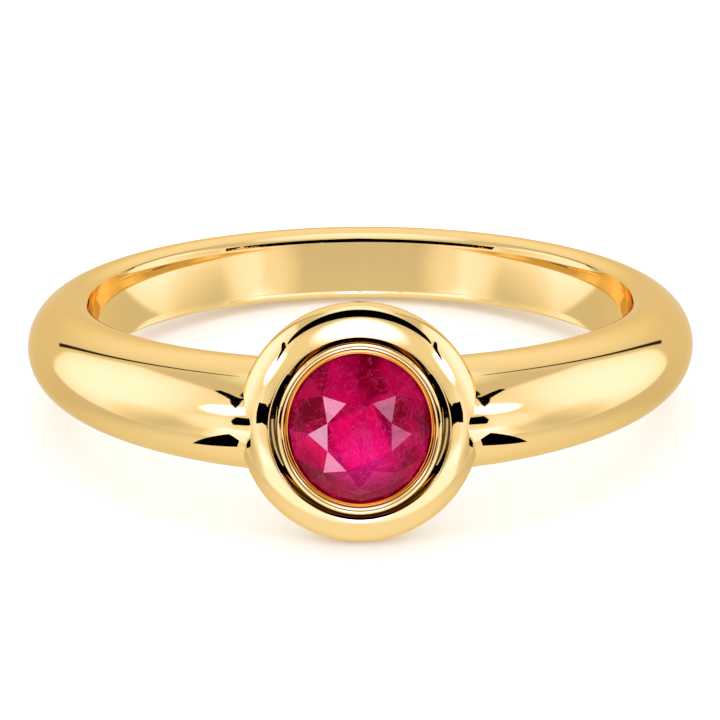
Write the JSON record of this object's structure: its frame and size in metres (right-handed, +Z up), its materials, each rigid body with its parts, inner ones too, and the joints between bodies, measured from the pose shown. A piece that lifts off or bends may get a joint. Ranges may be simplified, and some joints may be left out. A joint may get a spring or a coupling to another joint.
{
  "type": "bezel set ring",
  "caption": "Finger ring with a domed gold band that widens to a round bezel, whose thin inner collet holds a faceted red stone.",
  "frame": {"origin": "middle of the ring's outline on the surface that it lies on, under the finger hole", "axes": "+Z up from the surface, -Y towards the bezel, +X across the ring. The ring lies tipped by 7.7 degrees, on the bezel's lower edge and the back of the band, so the finger hole's axis leans from +Z towards +Y by that angle"},
  "size_m": [0.0212, 0.0216, 0.0076],
  "materials": {
    "gold": "mirror-polished 18 carat yellow gold",
    "ruby": "polished facets"
  },
  "bodies": {
    "root": {"band_with_bezel": "gold", "collet": "gold", "ruby": "ruby"}
  },
  "joints": []
}
